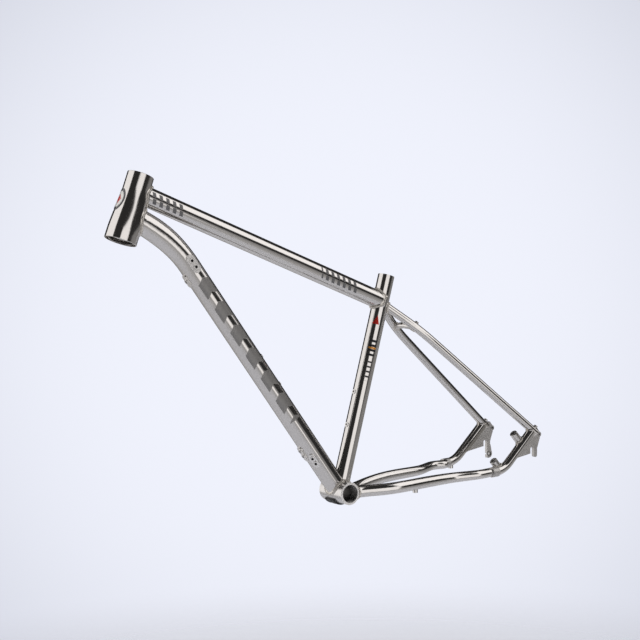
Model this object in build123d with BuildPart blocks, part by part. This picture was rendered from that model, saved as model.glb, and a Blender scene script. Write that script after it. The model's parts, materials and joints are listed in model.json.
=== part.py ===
"""Welded hardtail mountain-bike frame.

+X points to the head tube, +Y to the rider's left, +Z up.
The origin is the centre of the bottom bracket shell.
"""
from build123d import *
from math import cos, radians, sin
import os

os.makedirs("parts", exist_ok=True)

# ---------------------------------------------------------------- layout
reach = 396.0                      # bottom bracket to the head tube's top, level
stack = 582.0                      # bottom bracket to the head tube's top, upright
head_angle = 70.15
seat_angle = 73.6
head_tube_length = 119.0
seat_tube_length = 423.0
axle_back = 428.0
axle_up = 47.5
hub_width = 135.0                  # between the dropouts' inner faces

# ---------------------------------------------------------------- tubes
tube_wall = 0.9
top_tube_radius = 17.45
top_tube_drop = 30.0               # along the head tube, rim to the top tube's axis
top_tube_seat_drop = 51.0          # along the seat tube, top to the top tube's axis
down_tube_radius = 19.05
down_tube_drop = 67.0              # along the head tube, rim to the down tube's axis
down_tube_root = 8.0               # the tube's end, inside the shell
down_tube_head_half_height = 21.6
down_tube_head_slope = 33.0
down_tube_head_run = 103.0         # bend corner to the head tube's axis
down_tube_bend_radius = 230.0
down_tube_bend_sections = 6
down_tube_bend_swell = 0.8         # share of the swelling reached by the end of the bend
seat_tube_radius = 15.9
cut_overrun = 5.0                  # how far a cutting bar runs past the skin it cuts

# ---------------------------------------------------------------- head tube
head_top_radius = 23.0
head_bottom_radius = 27.9
head_wall = 3.5                    # between the bearing cups
head_flare_start = 26.0            # from the upper rim
head_flare_end = 13.0              # from the lower rim
upper_cup_radius = 20.95
lower_cup_radius = 26.05
cup_depth = 8.0
head_rim_chamfer = 0.4

# ---------------------------------------------------------------- seat tube top
seatpost_radius = 13.6
seat_sleeve_length = 90.0
clamp_slot_width = 2.5
clamp_slot_length = 32.0
clamp_slot_end_radius = 2.5

# ---------------------------------------------------------------- bottom bracket shell
shell_radius = 21.0
shell_length = 73.0
shell_thread_radius = 16.9
shell_thread_length = 24.0
shell_relief_radius = 18.0
shell_window_radius = 9.0
shell_chamfer = 0.6

# ---------------------------------------------------------------- stays
chainstay_wall = 1.0
chainstay_half_height = 11.0       # from the bottom bracket to past the tyre
chainstay_half_width = 9.0
chainstay_taper_start = 0.45       # share of its length at which it starts to turn round
chainstay_sections = 12
chainstay_splay = 2.0              # degrees the stay turns out as it leaves the shell
chainstay_shell_half_gap = 23.0
tyre_bend_back = 84.0
tyre_bend_half_gap = 50.0
mid_bend_back = 140.0
mid_bend_half_gap = 55.4
heel_bend_ahead = 84.0             # ahead of the rear stay's joint
heel_bend_half_gap = 57.0
# Heights at the shell, the tyre bend, the middle and the heel bend: the right stay runs lower
# at the front, under the chain.
left_stay_heights = (-1.5, 2.5, 5.3, 8.0)
right_stay_heights = (-9.0, -5.3, 2.7, 8.0)
rear_stay_radius = 9.0
rear_stay_bend_radius = 60.0
rear_bend_ahead = 81.5             # of the axle
rear_bend_below = 34.8             # the axle
rear_joint_run = 23.0              # bend corner to the chainstay's end
stay_outset = 4.0                  # stay axis outside the dropout's middle
stay_meet_rise = 39.5              # above the axle
seatstay_radius = 8.0
seatstay_drop = 54.5               # along the seat tube, top to the stays' plane
seatstay_root_half_gap = 1.6
seatstay_bend_distance = 85.0
seatstay_bend_half_gap = 37.8
seatstay_bend_radius = 240.0
seatstay_overrun = 10.5
rear_stay_cut_back = 3.0           # the rear stay ends short of the seatstay's axis
collar_length = 16.0
collar_thickness = 1.1

# ---------------------------------------------------------------- bridges
seatstay_bridge_radius = 6.0
bridge_let_in = 2.0                # past each seatstay's middle line
seatstay_bridge_distance = 86.0
seatstay_bridge_rise = 8.0
seatstay_bridge_hole_radius = 2.6
chainstay_bridge_radius = 5.5
chainstay_bridge_share = 0.15      # along the chainstay
chainstay_bridge_up = -2.0

# ---------------------------------------------------------------- dropouts
dropout_thickness = 7.0
axle_slot_radius = 5.1
axle_slot_depth = 17.0
plate_foot_run = 84.0              # down the rear stay from where the stays meet
plate_foot_below = 8.5             # the axle, on both sides of the slot
plate_heel_back = 13.5             # behind the axle, just above the slot's rear leg
plate_heel_up = 0.5
plate_back = 21.5                  # the plate's rearmost edge
plate_back_low = 21.0
plate_back_high = 33.0
plate_shoulder_back = 14.0
plate_shoulder_up = 42.5
rear_leg_width = 8.0
rack_eye_radius = 5.5
rack_eye_back = 20.0
rack_eye_up = 28.5
m5_thread_radius = 2.1
hanger_hole_back = 9.5
hanger_hole_below = 26.0
hanger_boss_radius = 9.0
hanger_neck_up = 20.0              # the neck's top above the hole
hanger_neck_front = 4.9            # ahead of the hole
hanger_neck_back = 5.0
hanger_thread_radius = 4.5

# ---------------------------------------------------------------- brake posts
brake_post_radius = 7.75
brake_post_spacing = 74.2
brake_post_reach = 59.0            # axle to the posts' faces
brake_post_ahead = 10.8            # upper post ahead of the axle, along the stay
brake_post_inset = 5.0             # inboard of the stay's axis
brake_post_length = 25.0
brake_thread_radius = 2.55
brake_thread_depth = 15.0

# ---------------------------------------------------------------- fittings
bottle_boss_radius = 4.6
bottle_boss_spacing = 64.0
bottle_boss_proud = 1.3
bottle_boss_depth = 7.0
seat_boss_distance = 157.5         # bottom bracket to the middle of the pair
down_boss_distance = 280.0
small_boss_radius = 4.0
hose_boss_distance = 80.0
hose_boss_proud = 2.6
hose_boss_depth = 3.0              # inside the stay's skin
rack_boss_proud = 4.0
rack_thread_depth = 7.0            # from the boss's face, into the stay's solid end
rack_boss_back = 3.0               # along the seatstay, past where the stays meet
stay_guide_radius = 5.0
stay_guide_height = 5.0
stay_guide_thread_depth = 4.0
left_guide_share = 0.435           # along the chainstay
right_guide_run = 14.0             # along the rear stay, from its joint
port_proud = 1.8
port_rim_radius = 4.6
port_rim_proud = 1.6
port_hole_radius = 2.6
badge_width = 26.0
badge_height = 40.0
badge_thickness = 0.6
badge_drop = 52.0
guide_thickness = 3.6
guide_width = 28.0
guide_offset = -6.0
guide_tilt = -68.0
guide_half_span = 34.0
guide_groove_radius = 1.7
guide_groove_spacing = 14.0
screw_radius = 2.5
screw_length = 5.0
screw_head_radius = 4.4
screw_head_height = 2.2
hex_socket_width = 3.0
hex_socket_depth = 1.6
weld_size = 2.6
stay_weld_size = 1.9

# ---------------------------------------------------------------- points and directions
left = Vector(0, 1, 0)
shell_centre = Vector(0, 0, 0)
seat_up = Vector(-cos(radians(seat_angle)), 0, sin(radians(seat_angle)))
seat_front = Vector(sin(radians(seat_angle)), 0, cos(radians(seat_angle)))
seat_top = seat_up * seat_tube_length
head_down = Vector(cos(radians(head_angle)), 0, -sin(radians(head_angle)))
head_front = Vector(sin(radians(head_angle)), 0, cos(radians(head_angle)))
head_top = Vector(reach, 0, stack)
head_bottom = head_top + head_down * head_tube_length
top_tube_front = head_top + head_down * top_tube_drop
top_tube_rear = seat_top - seat_up * top_tube_seat_drop
down_tube_front = head_top + head_down * down_tube_drop
head_run_slope = Vector(cos(radians(down_tube_head_slope)), 0, sin(radians(down_tube_head_slope)))
down_tube_corner = down_tube_front - head_run_slope * down_tube_head_run
down_tube_up = down_tube_corner.normalized()
down_tube_under = Vector(down_tube_up.Z, 0, -down_tube_up.X)

axle = Vector(-axle_back, 0, axle_up)
dropout_middle = hub_width / 2 + dropout_thickness / 2
stay_end_y = dropout_middle + stay_outset
rear_corner = axle + Vector(rear_bend_ahead, stay_end_y, -rear_bend_below)
stay_meet = axle + Vector(0, stay_end_y, stay_meet_rise)
chainstay_side_run = Vector(rear_corner.X, 0, rear_corner.Z).normalized()
chainstay_end = rear_corner - chainstay_side_run * rear_joint_run
rear_stay_up = (stay_meet - rear_corner).normalized()
rear_stay_front = Vector(rear_stay_up.Z, 0, -rear_stay_up.X)

seatstay_root = seat_top - seat_up * seatstay_drop
seatstay_back = (axle + Vector(0, 0, stay_meet_rise) - seatstay_root)
seatstay_reach = seatstay_back.length
seatstay_back = seatstay_back.normalized()
seatstay_plane = Plane(
    origin=seatstay_root, x_dir=seatstay_back, z_dir=seatstay_back.cross(left)
)
seatstay_above = Vector(seatstay_back.Z, 0, -seatstay_back.X)


def mirrored(point):
    """The same point on the rider's right."""
    return Vector(point.X, -point.Y, point.Z)


def bar(start, end, radius):
    """A filled round bar."""
    with BuildPart(mode=Mode.PRIVATE) as piece:
        with BuildSketch(Plane(origin=start, z_dir=end - start)):
            Circle(radius)
        extrude(amount=(end - start).length)
    return piece.part


def swept_bar(path, radius):
    """A filled round bar along a path of lines and arcs."""
    with BuildPart(mode=Mode.PRIVATE) as piece:
        with BuildLine():
            add(path)
        with BuildSketch(Plane(origin=path @ 0, z_dir=path % 0)):
            Circle(radius)
        sweep()
    return piece.part


def lofted_bar(stations):
    """A filled oval bar through (plane, half width, half height) stations."""
    with BuildPart(mode=Mode.PRIVATE) as piece:
        for plane, half_width, half_height in stations:
            with BuildSketch(plane):
                Ellipse(half_width, half_height)
        loft()
    return piece.part


# ---------------------------------------------------------------- head tube
head_section = Plane(origin=head_top, x_dir=left, z_dir=left.cross(head_down))
head_axis = Axis(head_top, head_down)


def head_bar(extra=0.0):
    """The head tube's outside, filled, and thicker by extra."""
    flare_foot = head_tube_length - head_flare_end
    with BuildPart(mode=Mode.PRIVATE) as piece:
        with BuildSketch(head_section):
            with BuildLine():
                Polyline(
                    (head_top_radius + extra, head_flare_start),
                    (head_top_radius + extra, 0),
                    (0, 0),
                    (0, head_tube_length),
                    (head_bottom_radius + extra, head_tube_length),
                    (head_bottom_radius + extra, flare_foot),
                )
                Spline(
                    (head_bottom_radius + extra, flare_foot),
                    (head_top_radius + extra, head_flare_start),
                    tangents=[(0, -1), (0, -1)],
                )
            make_face()
        revolve(axis=head_axis)
    return piece.part


head_solid = head_bar()
with BuildPart() as head_tube:
    add(head_solid)
    with BuildSketch(head_section):
        with BuildLine():
            upper_shelf = head_top_radius - head_wall
            lower_shelf = head_bottom_radius - head_wall
            upper_foot = cup_depth + upper_cup_radius - upper_shelf
            lower_foot = head_tube_length - cup_depth - lower_cup_radius + lower_shelf
            Polyline(
                (upper_shelf, head_flare_start),
                (upper_shelf, upper_foot),
                (upper_cup_radius, cup_depth),
                (upper_cup_radius, 0),
                (0, 0),
                (0, head_tube_length),
                (lower_cup_radius, head_tube_length),
                (lower_cup_radius, head_tube_length - cup_depth),
                (lower_shelf, lower_foot),
                (lower_shelf, head_tube_length - head_flare_end),
                (upper_shelf, head_flare_start),
            )
        make_face()
    revolve(axis=head_axis, mode=Mode.SUBTRACT)
    circles = head_tube.edges().filter_by(GeomType.CIRCLE).group_by(head_axis)
    chamfer([circles[0].sort_by(SortBy.RADIUS)[-1], circles[-1].sort_by(SortBy.RADIUS)[-1]],
            head_rim_chamfer)
head_tube.part.label = "head_tube"
export_step(head_tube.part, "parts/head_tube.step")

# ---------------------------------------------------------------- filled outsides of the tubes
shell_end = left * (shell_length / 2)
shell_solid = bar(-shell_end, shell_end, shell_radius)
seat_solid = bar(shell_centre, seat_top, seat_tube_radius)
top_solid = bar(top_tube_front, top_tube_rear, top_tube_radius)

with BuildLine() as down_tube_line:
    FilletPolyline(
        shell_centre, down_tube_corner, down_tube_front, radius=down_tube_bend_radius
    )
down_tube_run, down_tube_bend, down_tube_head = down_tube_line.edges().sort_by(Axis.X)


def down_tube_station(point, direction, share, extra):
    """One oval section of the down tube's upper end."""
    swell = (down_tube_head_half_height - down_tube_radius) * share
    radius = down_tube_radius + extra
    return Plane(origin=point, x_dir=left, z_dir=direction), radius, radius + swell


def down_bar(extra=0.0):
    """The down tube's outside, round up to its bend and oval at the head tube."""
    stations = []
    for step in range(down_tube_bend_sections):
        share = step / (down_tube_bend_sections - 1)
        smooth = share * share * (3 - 2 * share) * down_tube_bend_swell
        stations.append(
            down_tube_station(down_tube_bend @ share, down_tube_bend % share, smooth, extra)
        )
    stations.append(down_tube_station(down_tube_head @ 1, down_tube_head % 1, 1.0, extra))
    lower = bar(down_tube_up * down_tube_root, down_tube_run @ 1, down_tube_radius + extra)
    return lower + lofted_bar(stations)


down_solid = down_bar()

# ---------------------------------------------------------------- stays
def chainstay_line(heights):
    """A chainstay's axis on the left side, from inside the shell to its joint."""
    at_shell, at_tyre, at_middle, at_heel = heights
    with BuildLine(mode=Mode.PRIVATE) as path:
        Spline(
            Vector(0, chainstay_shell_half_gap, at_shell),
            Vector(-tyre_bend_back, tyre_bend_half_gap, at_tyre),
            Vector(-mid_bend_back, mid_bend_half_gap, at_middle),
            Vector(chainstay_end.X + heel_bend_ahead, heel_bend_half_gap, at_heel),
            chainstay_end,
            tangents=[chainstay_side_run.rotate(Axis.Z, -chainstay_splay), chainstay_side_run],
        )
    return path.line


left_chainstay_line = chainstay_line(left_stay_heights)
right_chainstay_line = chainstay_line(right_stay_heights)


def chainstay_height_at(share):
    """Half the chainstay's height, from its root (0) to its round end (1)."""
    taper = max(0.0, (share - chainstay_taper_start) / (1 - chainstay_taper_start))
    smooth = taper * taper * (3 - 2 * taper)
    return chainstay_half_height + (rear_stay_radius - chainstay_half_height) * smooth


def chainstay_bar(path, extra=0.0):
    """A chainstay's outside on the left side: tall at the shell, round at its end."""
    stations = []
    for step in range(chainstay_sections):
        share = step / (chainstay_sections - 1)
        along = chainstay_side_run if share == 1 else path % share
        half_width = chainstay_half_width + (rear_stay_radius - chainstay_half_width) * share
        plane = Plane(origin=path @ share, x_dir=along.cross(Vector(0, 0, 1)), z_dir=along)
        stations.append((plane, half_width + extra, chainstay_height_at(share) + extra))
    return lofted_bar(stations)


with BuildLine() as rear_stay_line:
    FilletPolyline(
        chainstay_end,
        rear_corner,
        stay_meet - rear_stay_up * rear_stay_cut_back,
        radius=rear_stay_bend_radius,
    )

with BuildLine(seatstay_plane) as seatstay_line:
    FilletPolyline(
        (0, seatstay_root_half_gap),
        (seatstay_bend_distance, seatstay_bend_half_gap),
        (seatstay_reach, stay_end_y),
        radius=seatstay_bend_radius,
    )
seatstay_end_direction = seatstay_line.wires()[0] % 1
seatstay_end = stay_meet + seatstay_end_direction * seatstay_overrun


def rear_stay_bar(extra=0.0):
    """The left rear stay's outside."""
    return swept_bar(rear_stay_line.wires()[0], rear_stay_radius + extra)


def seatstay_bar(extra=0.0):
    """The left seatstay's outside, past the point where it meets the rear stay."""
    upper = swept_bar(seatstay_line.wires()[0], seatstay_radius + extra)
    return upper + bar(stay_meet, seatstay_end, seatstay_radius + extra)


left_chainstay_solid = chainstay_bar(left_chainstay_line)
right_chainstay_solid = chainstay_bar(right_chainstay_line)
rear_stay_solid = rear_stay_bar()
seatstay_solid = seatstay_bar()


def both_sides(left_solid, right_solid=None):
    """A left piece, and its mirror image or another piece mirrored on the right."""
    return left_solid + (right_solid or left_solid).mirror(Plane.XZ)


def finish(piece, name):
    """Name a finished piece and write it."""
    piece.label = name
    export_step(piece, f"parts/{name}.step")


def finish_pair(piece, name):
    """Write a left piece, and its mirror image on the right."""
    finish(piece, f"{name}_left")
    finish(piece.mirror(Plane.XZ), f"{name}_right")


# ---------------------------------------------------------------- main tubes
with BuildPart() as top_tube:
    add(top_solid)
    add(bar(top_tube_front, top_tube_rear, top_tube_radius - tube_wall), mode=Mode.SUBTRACT)
    add(head_solid, mode=Mode.SUBTRACT)
    add(seat_solid, mode=Mode.SUBTRACT)
finish(top_tube.part, "top_tube")

# Where each bottle boss and cable hole goes through the main tubes.
seat_boss_points = [
    seat_up * (seat_boss_distance + offset) + seat_front * seat_tube_radius
    for offset in (-bottle_boss_spacing / 2, bottle_boss_spacing / 2)
]
down_boss_points = [
    down_tube_up * (down_boss_distance + offset) - down_tube_under * down_tube_radius
    for offset in (-bottle_boss_spacing / 2, bottle_boss_spacing / 2)
]


def boss(point, outward, radius, depth, proud, hole_radius, hole_depth):
    """A round boss set into a tube, with a tapped hole from its face."""
    face = point + outward * proud
    with BuildPart(mode=Mode.PRIVATE) as piece:
        add(bar(point - outward * depth, face, radius))
        add(bar(face - outward * hole_depth, face, hole_radius), mode=Mode.SUBTRACT)
    return piece.part


def bottle_boss(point, outward):
    """One threaded insert for a bottle cage screw, open at both ends."""
    length = bottle_boss_depth + bottle_boss_proud
    return boss(point, outward, bottle_boss_radius, bottle_boss_depth,
                bottle_boss_proud, m5_thread_radius, length)


seat_bosses = [bottle_boss(point, seat_front) for point in seat_boss_points]
down_bosses = [bottle_boss(point, -down_tube_under) for point in down_boss_points]

# Cable ports: a long oval plate on the tube's skin with rimmed holes in it. Its distance is
# from the shell, its angle goes round from the left side to the underside, and its holes lie
# along it from its middle.
port_places = {
    "upper_left": {"distance": 531.0, "angle": 0.0, "length": 36.0, "width": 16.0,
                   "holes": (-6.5, 6.5)},
    "upper_under": {"distance": 508.0, "angle": 90.0, "length": 26.0, "width": 12.0,
                    "holes": (0.0,)},
    "lower_left": {"distance": 91.0, "angle": 45.0, "length": 30.0, "width": 13.0,
                   "holes": (-6.0, 6.0)},
    "lower_under": {"distance": 110.0, "angle": 90.0, "length": 34.0, "width": 13.0,
                    "holes": (-4.0, 8.0)},
}


def port_plane(distance, angle):
    """The plane on the down tube's axis that faces out through a port."""
    outward = left * cos(radians(angle)) + down_tube_under * sin(radians(angle))
    run_length = (down_tube_run @ 1).length
    if distance < run_length:
        point = down_tube_up * distance
        along = down_tube_up
    else:
        share = (distance - run_length) / down_tube_bend.length
        point = down_tube_bend @ share
        along = down_tube_bend % share
    return Plane(origin=point, x_dir=along, z_dir=outward)


def port_bars(port, radius, start, end):
    """Filled bars where a port's holes or rims stand, from start to end off the axis."""
    with BuildPart(mode=Mode.PRIVATE) as piece:
        with BuildSketch(port_plane(port["distance"], port["angle"]).offset(start)):
            with Locations(*[(spacing, 0) for spacing in port["holes"]]):
                Circle(radius)
        extrude(amount=end - start)
    return piece.part


with BuildPart() as down_tube:
    add(down_solid)
    add(down_bar(-tube_wall), mode=Mode.SUBTRACT)
    add(head_solid, mode=Mode.SUBTRACT)
    add(shell_solid, mode=Mode.SUBTRACT)
    add(seat_solid, mode=Mode.SUBTRACT)
    add(top_solid, mode=Mode.SUBTRACT)
    for point in down_boss_points:
        add(bar(point + down_tube_under * bottle_boss_depth,
                point - down_tube_under * cut_overrun, bottle_boss_radius), mode=Mode.SUBTRACT)
    for port in port_places.values():
        add(port_bars(port, port_hole_radius, down_tube_radius / 2, 2 * down_tube_radius),
            mode=Mode.SUBTRACT)
finish(down_tube.part, "down_tube")

slot_plane = Plane(origin=seat_top, x_dir=left, z_dir=-seat_front)
with BuildPart() as clamp_slot:
    with BuildSketch(slot_plane):
        with Locations((0, clamp_slot_length / 2)):
            Rectangle(clamp_slot_width, clamp_slot_length)
        with Locations((0, clamp_slot_length)):
            Circle(clamp_slot_end_radius)
    extrude(amount=2 * seat_tube_radius)
slot_solid = clamp_slot.part

with BuildPart() as seat_tube:
    add(seat_solid)
    add(bar(shell_centre, seat_top, seat_tube_radius - tube_wall), mode=Mode.SUBTRACT)
    add(shell_solid, mode=Mode.SUBTRACT)
    add(slot_solid, mode=Mode.SUBTRACT)
    for point in seat_boss_points:
        add(bar(point - seat_front * bottle_boss_depth, point + seat_front * cut_overrun,
                bottle_boss_radius), mode=Mode.SUBTRACT)
finish(seat_tube.part, "seat_tube")

sleeve_foot = seat_top - seat_up * seat_sleeve_length
with BuildPart() as seat_tube_sleeve:
    add(bar(sleeve_foot, seat_top, seat_tube_radius - tube_wall))
    add(bar(sleeve_foot, seat_top, seatpost_radius), mode=Mode.SUBTRACT)
    add(slot_solid, mode=Mode.SUBTRACT)
finish(seat_tube_sleeve.part, "seat_tube_sleeve")

with BuildPart() as bottom_bracket_shell:
    add(shell_solid)
    add(bar(-shell_end, shell_end, shell_thread_radius), mode=Mode.SUBTRACT)
    relief_end = left * (shell_length / 2 - shell_thread_length)
    add(bar(-relief_end, relief_end, shell_relief_radius), mode=Mode.SUBTRACT)
    for direction in (seat_up, down_tube_up):
        add(bar(shell_centre, direction * (shell_radius + cut_overrun), shell_window_radius),
            mode=Mode.SUBTRACT)
    guide_down = Vector(cos(radians(guide_tilt)), 0, sin(radians(guide_tilt)))
    guide_middle = left * guide_offset
    add(bar(guide_middle, guide_middle + guide_down * (shell_radius + cut_overrun),
            screw_radius), mode=Mode.SUBTRACT)
    circles = bottom_bracket_shell.edges().filter_by(GeomType.CIRCLE).group_by(Axis.Y)
    chamfer([circles[0].sort_by(SortBy.RADIUS)[-1], circles[-1].sort_by(SortBy.RADIUS)[-1]],
            shell_chamfer)
finish(bottom_bracket_shell.part, "bottom_bracket_shell")

# ---------------------------------------------------------------- stays
def chainstay(path, outside):
    """A hollow chainstay on the left side, coped to the shell and the tubes beside it."""
    with BuildPart(mode=Mode.PRIVATE) as piece:
        add(outside)
        add(chainstay_bar(path, -chainstay_wall), mode=Mode.SUBTRACT)
        add(shell_solid, mode=Mode.SUBTRACT)
        add(seat_solid, mode=Mode.SUBTRACT)
        add(down_solid, mode=Mode.SUBTRACT)
    return piece.part


finish(chainstay(left_chainstay_line, left_chainstay_solid), "chainstay_left")
finish(chainstay(right_chainstay_line, right_chainstay_solid).mirror(Plane.XZ), "chainstay_right")

with BuildPart() as rear_stay:
    add(rear_stay_solid)
    add(rear_stay_bar(-tube_wall), mode=Mode.SUBTRACT)
    add(seatstay_solid, mode=Mode.SUBTRACT)
finish_pair(rear_stay.part, "rear_stay")

seatstay_wire = seatstay_line.wires()[0]
hose_boss_point = seatstay_wire @ (hose_boss_distance / seatstay_wire.length)
hose_boss_point += seatstay_above * seatstay_radius
rack_boss_point = stay_meet + seatstay_end_direction * rack_boss_back
rack_boss_face = rack_boss_point + seatstay_above * (seatstay_radius + rack_boss_proud)
rack_thread = bar(rack_boss_face - seatstay_above * rack_thread_depth, rack_boss_face,
                  m5_thread_radius)
with BuildPart() as seatstay:
    add(seatstay_solid)
    add(swept_bar(seatstay_wire, seatstay_radius - tube_wall), mode=Mode.SUBTRACT)
    add(seat_solid, mode=Mode.SUBTRACT)
    add(rack_thread, mode=Mode.SUBTRACT)
with BuildPart() as seatstay_with_boss:
    add(seatstay.part)
    add(bar(hose_boss_point - seatstay_above * hose_boss_depth,
            hose_boss_point + seatstay_above * cut_overrun, small_boss_radius),
        mode=Mode.SUBTRACT)
finish(seatstay_with_boss.part, "seatstay_left")
finish(seatstay.part.mirror(Plane.XZ), "seatstay_right")

def collar(chainstay_outside):
    """The ring round the joint of a chainstay and its rear stay, on the left side."""
    half_run = chainstay_side_run * (collar_length / 2)
    with BuildPart(mode=Mode.PRIVATE) as piece:
        add(bar(chainstay_end + half_run, chainstay_end - half_run,
                rear_stay_radius + collar_thickness))
        add(chainstay_outside, mode=Mode.SUBTRACT)
        add(rear_stay_solid, mode=Mode.SUBTRACT)
    return piece.part


left_collar = collar(left_chainstay_solid)
right_collar = collar(right_chainstay_solid)
finish(left_collar, "chainstay_collar_left")
finish(right_collar.mirror(Plane.XZ), "chainstay_collar_right")

# ---------------------------------------------------------------- bridges
bridge_stay_point = seatstay_wire @ (seatstay_bridge_distance / seatstay_wire.length)
bridge_end = (bridge_stay_point - seatstay_root).dot(seatstay_back)
bridge_half_gap = bridge_stay_point.Y - bridge_let_in
with BuildLine(seatstay_plane) as seatstay_bridge_line:
    ThreePointArc(
        (bridge_end, -bridge_half_gap),
        (bridge_end - seatstay_bridge_rise, 0),
        (bridge_end, bridge_half_gap),
    )
seatstay_bridge_wire = seatstay_bridge_line.wires()[0]
seatstays_solid = both_sides(seatstay_solid)
bridge_middle = seatstay_root + seatstay_back * (bridge_end - seatstay_bridge_rise)
with BuildPart() as seatstay_bridge:
    add(swept_bar(seatstay_bridge_wire, seatstay_bridge_radius))
    add(swept_bar(seatstay_bridge_wire, seatstay_bridge_radius - tube_wall), mode=Mode.SUBTRACT)
    add(seatstays_solid, mode=Mode.SUBTRACT)
    add(bar(bridge_middle - seatstay_back * 2 * seatstay_bridge_radius,
            bridge_middle + seatstay_back * 2 * seatstay_bridge_radius,
            seatstay_bridge_hole_radius), mode=Mode.SUBTRACT)
finish(seatstay_bridge.part, "seatstay_bridge")

chainstays_solid = both_sides(left_chainstay_solid, right_chainstay_solid)
chainstay_bridge_end = left_chainstay_line @ chainstay_bridge_share
chainstay_bridge_end.Z = chainstay_bridge_up
chainstay_bridge_far = mirrored(chainstay_bridge_end)
with BuildPart() as chainstay_bridge:
    add(bar(chainstay_bridge_far, chainstay_bridge_end, chainstay_bridge_radius))
    add(bar(chainstay_bridge_far, chainstay_bridge_end, chainstay_bridge_radius - tube_wall),
        mode=Mode.SUBTRACT)
    add(chainstays_solid, mode=Mode.SUBTRACT)
finish(chainstay_bridge.part, "chainstay_bridge")

# ---------------------------------------------------------------- dropouts
dropout_plane = Plane(
    origin=axle + left * (hub_width / 2 + dropout_thickness), x_dir=(1, 0, 0), z_dir=-left
)
plate_foot = stay_meet - axle - rear_stay_up * plate_foot_run
plate_top = stay_meet - axle
rack_eye_place = (-rack_eye_back, rack_eye_up)
hanger_hole_place = (-hanger_hole_back, -hanger_hole_below)


def dropout_plate(has_hanger, swell=0.0):
    """The left dropout before the stays are let into it; swell thickens both faces."""
    with BuildPart(mode=Mode.PRIVATE) as piece:
        with BuildSketch(dropout_plane.offset(-swell)):
            Polygon(
                (plate_foot.X, plate_foot.Z),
                (axle_slot_radius, -plate_foot_below),
                (-plate_heel_back, -plate_foot_below),
                (-plate_heel_back, plate_heel_up),
                (-plate_back, plate_back_low),
                (-plate_back, plate_back_high),
                (-plate_shoulder_back, plate_shoulder_up),
                (plate_top.X, plate_top.Z),
                align=None,
            )
            with Locations(rack_eye_place):
                Circle(rack_eye_radius)
            if has_hanger:
                neck_top = hanger_neck_up - hanger_hole_below
                Polygon(
                    (hanger_neck_front - hanger_hole_back, neck_top),
                    (-hanger_neck_back - hanger_hole_back, neck_top),
                    (-hanger_hole_back - hanger_boss_radius, -hanger_hole_below),
                    (-hanger_hole_back + hanger_boss_radius, -hanger_hole_below),
                    align=None,
                )
                with Locations(hanger_hole_place):
                    Circle(hanger_boss_radius)
                with Locations(hanger_hole_place):
                    Circle(hanger_thread_radius, mode=Mode.SUBTRACT)
            else:
                leg_middle = -axle_slot_radius - rear_leg_width / 2
                leg_foot = rear_leg_width / 2 - axle_slot_depth
                with Locations((leg_middle, leg_foot / 2)):
                    Rectangle(rear_leg_width, -leg_foot)
                with Locations((leg_middle, leg_foot)):
                    Circle(rear_leg_width / 2)
            with Locations(rack_eye_place):
                Circle(m5_thread_radius, mode=Mode.SUBTRACT)
            Circle(axle_slot_radius, mode=Mode.SUBTRACT)
            with Locations((0, -axle_slot_depth)):
                Rectangle(2 * axle_slot_radius, 2 * axle_slot_depth, mode=Mode.SUBTRACT)
        extrude(amount=dropout_thickness + 2 * swell)
    return piece.part


def dropout(has_hanger):
    """A finished dropout: the plate with both stays let into it."""
    with BuildPart(mode=Mode.PRIVATE) as piece:
        add(dropout_plate(has_hanger))
        add(rear_stay_solid, mode=Mode.SUBTRACT)
        add(seatstay_solid, mode=Mode.SUBTRACT)
    return piece.part


dropout_left = dropout(False)
dropout_right = dropout(True)
finish(dropout_left, "dropout_left")
finish(dropout_right.mirror(Plane.XZ), "dropout_right")

# ---------------------------------------------------------------- brake posts
upper_post_face = axle + left * (stay_end_y - brake_post_inset)
upper_post_face += rear_stay_front * brake_post_reach - rear_stay_up * brake_post_ahead
post_faces = {
    "upper": upper_post_face,
    "lower": upper_post_face - rear_stay_up * brake_post_spacing,
}


def brake_post(face):
    """A post for the brake caliper, tapped from its face and coped to the stay."""
    with BuildPart(mode=Mode.PRIVATE) as piece:
        add(bar(face - rear_stay_front * brake_post_length, face, brake_post_radius))
        chamfer(piece.edges().filter_by(GeomType.CIRCLE).sort_by(Axis(face, rear_stay_front))[-1],
                shell_chamfer)
        add(bar(face - rear_stay_front * brake_thread_depth, face, brake_thread_radius),
            mode=Mode.SUBTRACT)
        add(rear_stay_solid, mode=Mode.SUBTRACT)
        add(left_collar, mode=Mode.SUBTRACT)
    return piece.part


for place, face in post_faces.items():
    finish(brake_post(face), f"brake_post_{place}")

# ---------------------------------------------------------------- cable ports
port_base = down_tube_radius / 2
port_face = down_tube_radius + port_proud
for name, port in port_places.items():
    with BuildPart() as cable_port:
        with BuildSketch(port_plane(port["distance"], port["angle"]).offset(port_base)):
            SlotOverall(port["length"], port["width"])
        extrude(amount=port_face - port_base)
        add(port_bars(port, port_rim_radius, port_base, port_face + port_rim_proud))
        add(port_bars(port, port_hole_radius, 0, 2 * down_tube_radius), mode=Mode.SUBTRACT)
        add(down_solid, mode=Mode.SUBTRACT)
    finish(cable_port.part, f"cable_port_{name}")

# ---------------------------------------------------------------- bosses and guides
with BuildPart() as seat_tube_bosses:
    for solid in seat_bosses:
        add(solid)
finish(seat_tube_bosses.part, "bottle_bosses_seat_tube")

with BuildPart() as down_tube_bosses:
    for solid in down_bosses:
        add(solid)
finish(down_tube_bosses.part, "bottle_bosses_down_tube")

hose_boss = boss(hose_boss_point, seatstay_above, small_boss_radius, hose_boss_depth,
                 hose_boss_proud, m5_thread_radius, hose_boss_depth + hose_boss_proud)
finish(hose_boss, "hose_boss")

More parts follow.
